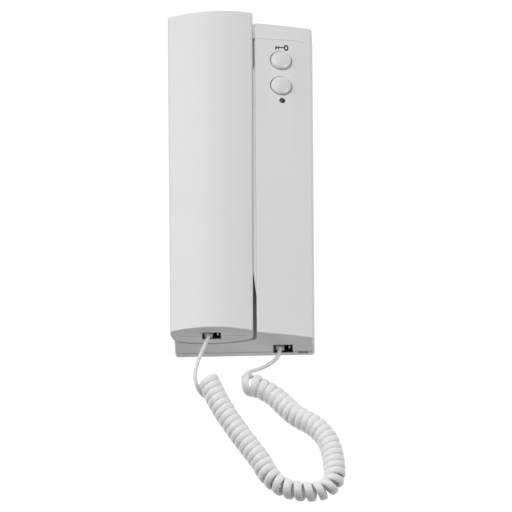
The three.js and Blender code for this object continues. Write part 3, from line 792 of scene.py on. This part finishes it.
def make_jack_mouth(name, window, bottom, body):
    """The black lining of a jack's window, flush with the face that the cord leaves from."""
    (left, right), (rear, front) = window
    gap = 0.04
    lining = box(name, (left + gap, right - gap), (rear + gap, front - gap), (bottom + 0.25, bottom + 2.25))
    hollow = box("hollow", (left + 0.7, right - 0.7), (rear + 0.7, front - 0.7), (bottom - 1, bottom + 3))
    combine(lining, [hollow], "DIFFERENCE")
    smooth(lining)
    finish_piece(lining, BLACK, body)


PLUG_HALF_WIDTH, PLUG_HALF_THICKNESS, PLUG_CORNER = 3.2, 3.7, 0.4
# (z, inset): a narrower collar where the cable enters, then the plug's straight body.
PLUG_LEVELS = [(-109.6, 0.9), (-109.4, 0.6), (-107.2, 0.5), (-106.9, 0), (-99, 0), (-98.6, 0.4)]
BLADE_SIZE = (0.9, 0.35, 4.2)
BLADE_SPACING = 1.1


def make_plug(name, x, depth, body):
    """A clear modular plug: stepped body, sprung latch and a row of gold blades."""
    corners = ((-1, -1), (1, -1), (1, 1), (-1, 1))
    outline = rounded(
        [(x + a * PLUG_HALF_WIDTH, depth + b * PLUG_HALF_THICKNESS, PLUG_CORNER) for a, b in corners], 3
    )
    rings = []
    for z, inset in PLUG_LEVELS:
        ring = inset_outline(outline, inset) if inset else outline
        rings.append([Vector((p.x, -p.y, z)) * MM for p in ring])
    plug = stacked(name, rings)
    latch = [Vector(p) for p in (
        (x + 2.9, -98.7), (x + 2.9, -100.9), (x + 3.7, -101.2), (x + 5.4, -108.8), (x + 6.3, -108.8),
        (x + 4.3, -99))]
    combine(plug, [forward_bar("latch", latch, depth - 1.6, depth + 1.6)], "UNION")
    smooth(plug)
    finish_piece(plug, CLEAR, body, [name.replace("_clear", "")])
    blades = bmesh.new()
    for i in range(4):
        middle = Vector((x - 2.95, -(depth + (i - 1.5) * BLADE_SPACING), -101.5)) * MM
        size = Matrix.Diagonal((*BLADE_SIZE, 1))
        bmesh.ops.create_cube(blades, size=MM, matrix=Matrix.Translation(middle) @ size)
    bmesh.ops.bevel(blades, geom=blades.edges[:], offset=0.06 * MM, segments=2, affect="EDGES")
    made = new_object(f"{name}_blades", blades)
    finish_piece(made, GOLD, body)
    return plug


# ------------------------------------------------------------------ CAD nodes that stay


KEPT_LOOKS = {
    SHELL: ["back_plate"],
    BUTTON: ["hook_plunger"],
    BLACK: ["base_jack", "handset_jack", "door_switch", "service_switch", "door_switch_key",
            "service_switch_key", "hook_switch", "call_sounder", "earpiece_capsule", "speech_capacitor"],
    CLEAR: ["status_led"],
    LAMINATE: ["main_board", "handset_board"],
    NYLON: ["terminal_block"],
    FOAM: ["earpiece_seal", "microphone_boot"],
    WIRE: ["earpiece_lead", "microphone_lead"],
    STEEL: ["microphone_capsule"],
}


def soften(node, width):
    """Rounds a carried-over node's corners."""
    flat = node.modifiers.new("flat_faces", "DECIMATE")
    flat.decimate_type = "DISSOLVE"
    flat.angle_limit = math.radians(0.5)
    edge = node.modifiers.new("soft_edges", "BEVEL")
    edge.width = width
    edge.segments = 2
    edge.limit_method = "ANGLE"
    edge.angle_limit = math.radians(40)
    node.data.shade_smooth()
    weighted = node.modifiers.new("even_normals", "WEIGHTED_NORMAL")
    weighted.weight = 80


def dress_kept_nodes():
    for material, names in KEPT_LOOKS.items():
        for name in names:
            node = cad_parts[name]
            node.data.materials.clear()
            node.data.materials.append(material)
            soften(node, 0.00025 if name == "back_plate" else 0.00012)
    for name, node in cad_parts.items():
        if "screw" in name:
            node.data.materials.clear()
            node.data.materials.append(STEEL)
            soften(node, 0.0001)


# ------------------------------------------------------------------ studio


def add_backdrop():
    made = bmesh.new()
    bmesh.ops.create_grid(made, x_segments=1, y_segments=1, size=6)
    backdrop = new_object("backdrop", made)
    backdrop.rotation_euler = (math.radians(90), 0, 0)
    backdrop.location = (0, 3, 1.5)
    material = bpy.data.materials.new("backdrop_white")
    material.use_nodes = True
    tree = material.node_tree
    glow = node_of(tree, "ShaderNodeEmission", Color=(1, 1, 1, 1), Strength=1.05)
    tree.links.new(glow.outputs[0], tree.nodes["Material Output"].inputs["Surface"])
    backdrop.data.materials.append(material)


def add_area_light(name, place, aim, size, power):
    data = bpy.data.lights.new(name, "AREA")
    data.shape = "RECTANGLE"
    data.size, data.size_y = size
    data.energy = power
    light = bpy.data.objects.new(name, data)
    light.location = place
    light.rotation_euler = (Vector(aim) - Vector(place)).to_track_quat("-Z", "Y").to_euler()
    bpy.context.scene.collection.objects.link(light)


def light_scene():
    world = bpy.data.worlds.new("studio")
    bpy.context.scene.world = world
    world.use_nodes = True
    tree = world.node_tree
    # Bright overhead and all round, and darker from below.
    way = tree.nodes.new("ShaderNodeTexCoord").outputs["Generated"]
    parts = tree.nodes.new("ShaderNodeSeparateXYZ")
    tree.links.new(way, parts.inputs[0])
    level = ramp(tree, parts.outputs["Z"], -0.7, 0.5, (0.13, 0.6))
    sky = tree.nodes["Background"]
    sky.inputs["Color"].default_value = (1, 1, 1, 1)
    tree.links.new(level, sky.inputs["Strength"])
    middle = (0, 0, 0)
    add_area_light("key", (-0.9, -1.5, 0.5), middle, (1.8, 1.8), 17)
    add_area_light("side", (-1.5, -0.5, 0.1), middle, (0.5, 1.4), 4)
    add_area_light("fill", (1.2, -1.4, -0.1), middle, (0.8, 0.8), 9)
    bpy.context.scene.view_settings.view_transform = "Standard"


# ------------------------------------------------------------------ assembly


make_cover()
for button_name, height in BUTTON_HEIGHTS.items():
    make_button(button_name, height)
make_lamp()
make_key_mark()
make_front_shell()
make_rear_shell()
make_jack_mouth("base_jack_mouth", BASE_WINDOW, BASE_BOTTOM, "base")
make_jack_mouth("handset_jack_mouth", HANDSET_WINDOW, HANDSET_BOTTOM, "handset")
make_cord(
    make_plug("handset_plug_clear", -22, 25.6, "handset"),
    make_plug("base_plug_clear", 21.65, 8, "base"),
)
dress_kept_nodes()
add_backdrop()
light_scene()
